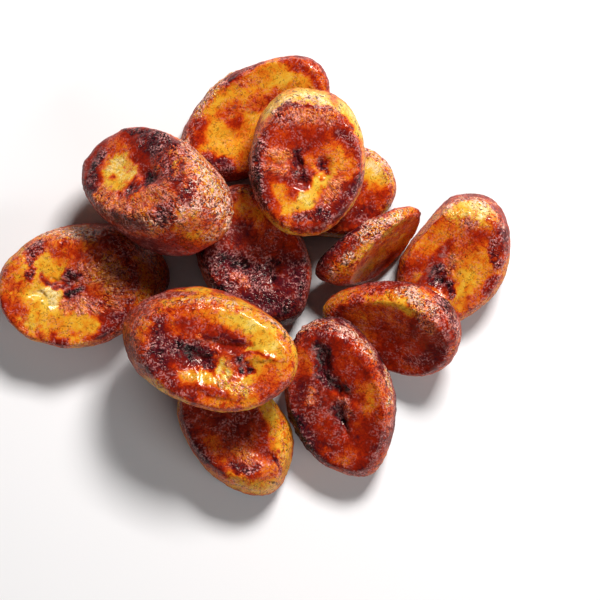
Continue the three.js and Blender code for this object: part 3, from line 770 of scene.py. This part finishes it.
def paleReliefAndSheen(finish, field, fried, colour):
    # pale strands where it isn't brown yet, and pale worm ridges that are partly painted highlight,
    # then painted glints (painted highlights) in clusters, few where it is burnt
    look, pattern = crustLook, crustPattern
    paler = 1 - fried.between(*pattern["palerLevel"])
    strands = field.fibrous * field.strand.between(*pattern["strandLine"]) * look["strandShare"]
    colour = finish.mixed(strands * paler, colour, linear(*look["strandColour"]))
    # partly painted highlight: pale worm ridges on crusty walls
    worms = field.crust.between(*pattern["wormCrust"]) * field.wall * field.worm
    worms = worms * field.grain.between(*pattern["wormGrain"]) * look["wormShare"]
    colour = finish.mixed(worms * paler, colour, linear(*look["wormSheenColour"]))
    # painted highlight: small glints mixed into the colour in clusters
    cluster = finish.noise(field.spot, *pattern["clusterNoise"])
    glints = field.crust + field.level.between(*pattern["glintLevel"]) * look["glintOnBrown"]
    glints = glints * field.worm * field.grain.between(*pattern["glintGrain"])
    glints = glints * cluster.between(*pattern["glintCluster"]) * look["glintShare"]
    glints = glints * (1 - fried.between(*pattern["burntLevel"]) * look["burntFade"])
    return finish.mixed(glints, colour, linear(*look["glintColour"]))


def darkMarks(finish, field, fried, colour):
    # burnt specks in sparse groups on pale flesh, then short curved cracks
    look, pattern = crustLook, crustPattern
    inputs = {"Vector": field.spot, "Scale": pattern["speckPerMm"]}
    dots = finish.node("ShaderNodeTexVoronoi", {"feature": "F1"}, inputs)["Distance"]
    sparse = finish.noise(field.spot, *pattern["sparseNoise"]).between(*pattern["sparse"])
    sparse = sparse * (1 - field.level.between(*pattern["speckLevel"]))
    sparse = sparse * field.fine.between(*pattern["speckFine"])
    specks = (1 - dots.between(*pattern["speckSize"])) * sparse
    colour = finish.mixed(specks * look["speckShare"], colour, linear(*look["speckColour"]))
    cracks = 1 - finish.ridges(field.spot, *pattern["crackNoise"]).between(*pattern["crackLine"])
    cracks = cracks * (look["crackOnFace"] + (1 - look["crackOnFace"]) * field.wall)
    cracks = cracks * finish.noise(field.spot, *pattern["dashNoise"]).between(*pattern["dash"])
    cracks = cracks * (1 - fried.between(*pattern["crackLevel"]))
    return finish.mixed(cracks * look["crackShare"], colour, linear(*look["speckColour"]))


def crustBump(finish, field):
    # crust^2 x (folds + worms) + strands + a fine grain
    look = crustLook
    bump = field.crust * field.crust * (field.fold * look["foldBump"] + field.worm * look["wormBump"])
    bump = bump + field.strand * (look["strandBump"] + look["fibreBump"] * field.fibrous)
    bump = bump + field.fine * look["fineBump"]
    inputs = {"Height": bump, "Distance": look["bumpHeight"]}
    return finish.node("ShaderNodeBump", {}, inputs)["Normal"]


def crustFinish(name):
    # one fried crust: a ramp over the frying level (partly painted shade), pale relief and painted
    # highlights, dark marks and a thin glaze of oil
    look = crustLook
    finish = Finish(name)
    field = crustFields(finish)
    fried = friedLevel(field)
    stops = [(place, linear(*colour)) for place, colour in look["fried"]]
    colour = finish.node("ShaderNodeValToRGB", {"stops": stops}, {"Fac": fried})["Color"]
    colour = paleReliefAndSheen(finish, field, fried, colour)
    colour = darkMarks(finish, field, fried, colour)
    facing = finish.node("ShaderNodeLayerWeight")["Facing"]
    rough = look["rough"] + (field.fine - noiseMiddle) * look["roughMottle"]
    rough = rough + facing * facing * look["edgeRough"]
    coat = field.glaze * field.grain * (1 - facing.between(*look["coatFade"])) * look["coat"]
    shader = finish.node("ShaderNodeBsdfPrincipled", {}, {
        "Base Color": colour, "Roughness": rough, "Normal": crustBump(finish, field),
        "Coat Weight": coat, "Coat Roughness": look["coatRoughness"],
        "Specular IOR Level": look["specular"], "Specular Tint": look["specularTint"],
        "Subsurface Weight": look["subsurface"], "Subsurface Radius": look["subsurfaceRadius"],
        "Subsurface Scale": look["subsurfaceReach"],
    })["BSDF"]
    finish.close(shader)
    return finish.material


def makeSlice(cut, material):
    # the placed surface with its relief along the normals, moved sideways to the middle of its solid's box
    form = sliceSurface(cut)
    base = placed(cut, form["at"])
    coat = browned(cut, form)
    relief, crust, wall, crease, strandAt = surfaceDetail(cut, form, coat)
    world = placed(cut, form["at"] + normalsOf(form["at"]) * relief[..., None])
    low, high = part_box(cut["node"])
    shift = np.array((low + high) / 2) / mm - (base.min(axis=(0, 1)) + base.max(axis=(0, 1))) / 2
    shift[2] = 0
    mesh = gridMesh(cut["node"] + "_fried", (world + shift) * mm)
    storeAttribute(mesh, "cook", coat[..., (levelAt, fibreAt, glazeAt)])
    storeAttribute(mesh, "skin", np.stack([crust, wall, crease], -1))
    storeAttribute(mesh, "strand", strandAt)
    piece = bpy.data.objects.new(mesh.name, mesh)
    bpy.context.scene.collection.objects.link(piece)
    mesh.materials.append(material)
    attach(piece, "root")
    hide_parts(cut["node"])
    return piece


finishes = {}
for entry in slices:
    cut = {**usual, **entry}
    if cut["slot"] not in finishes:
        finishes[cut["slot"]] = crustFinish(cut["slot"])
    piece = makeSlice(cut, finishes[cut["slot"]])
    print("sliced and browned:", piece.name, len(piece.data.polygons), "faces")

# The table, in metres.
table = {"side": 3.0, "colour": (0.86, 0.86, 0.87, 1), "rough": 0.5, "roughMottle": 0.1,
         "mottlePerMetre": 40.0}


def layTable():
    # a flat square under the heap
    half = table["side"] / 2
    corners = [(-half, -half, 0), (half, -half, 0), (half, half, 0), (-half, half, 0)]
    mesh = bpy.data.meshes.new("floor")
    mesh.from_pydata(corners, [], [(0, 1, 2, 3)])
    finish = Finish("pale_table")
    rough = table["rough"] + table["roughMottle"] * finish.noise(finish.objectSpot(), table["mottlePerMetre"])
    inputs = {"Base Color": table["colour"], "Roughness": rough}
    finish.close(finish.node("ShaderNodeBsdfPrincipled", {}, inputs)["BSDF"])
    mesh.materials.append(finish.material)
    floor = bpy.data.objects.new("floor", mesh)
    bpy.context.scene.collection.objects.link(floor)


# Two soft lights and the room's own light. Azimuths turn from +Y towards +X.
lights = {
    "key": {"power": 13, "size": (0.3, 0.22), "colour": (1, 0.97, 0.95),
            "away": 0.95, "azimuth": 26, "elevation": 48},
    "fill": {"power": 6.2, "size": (1.0, 0.6), "colour": (1, 1, 1),
             "away": 1.2, "azimuth": 140, "elevation": 32},
}
lightTarget = (0, 0, 0.015)
room = {"colour": (1, 1, 1, 1), "strength": 0.045}


def directionTo(azimuth, elevation):
    # a step of one metre towards the azimuth and elevation, in degrees
    turn = math.radians(azimuth)
    lift = math.radians(elevation)
    return np.array([math.sin(turn) * math.cos(lift), math.cos(turn) * math.cos(lift), math.sin(lift)])


def aimed(thing, place, target):
    # at the place, looking at the target
    thing.location = place
    thing.rotation_euler = (Vector(target) - Vector(place)).to_track_quat("-Z", "Y").to_euler()
    bpy.context.scene.collection.objects.link(thing)


def softLight(name):
    # an area light at its distance in its direction, turned to the heap
    light = lights[name]
    data = bpy.data.lights.new(name, "AREA")
    data.shape = "RECTANGLE"
    data.size, data.size_y = light["size"]
    data.energy = light["power"]
    data.color = light["colour"]
    place = directionTo(light["azimuth"], light["elevation"]) * light["away"]
    aimed(bpy.data.objects.new(name, data), place, lightTarget)


layTable()
for name in lights:
    softLight(name)
sky = bpy.data.worlds.new("sky")
sky.use_nodes = True
glow = sky.node_tree.nodes["Background"].inputs
glow["Color"].default_value = room["colour"]
glow["Strength"].default_value = room["strength"]
bpy.context.scene.world = sky
bpy.context.scene.view_settings.view_transform = "Standard"

# The camera looks almost straight down on the heap. Lengths are in metres, the sensor and the lens in mm.
view = {"elevation": 84, "distance": 0.7, "target": (0.0140, -0.0091, 0.015), "sensor": 36, "lens": 134.4}
lens = bpy.data.cameras.new("camera")
lens.sensor_width = view["sensor"]
lens.lens = view["lens"]
lift = math.radians(view["elevation"])
place = np.array(view["target"]) + view["distance"] * np.array([0, -math.cos(lift), math.sin(lift)])
camera = bpy.data.objects.new("camera", lens)
aimed(camera, place, view["target"])
bpy.context.scene.camera = camera
print("table, lights and camera set")
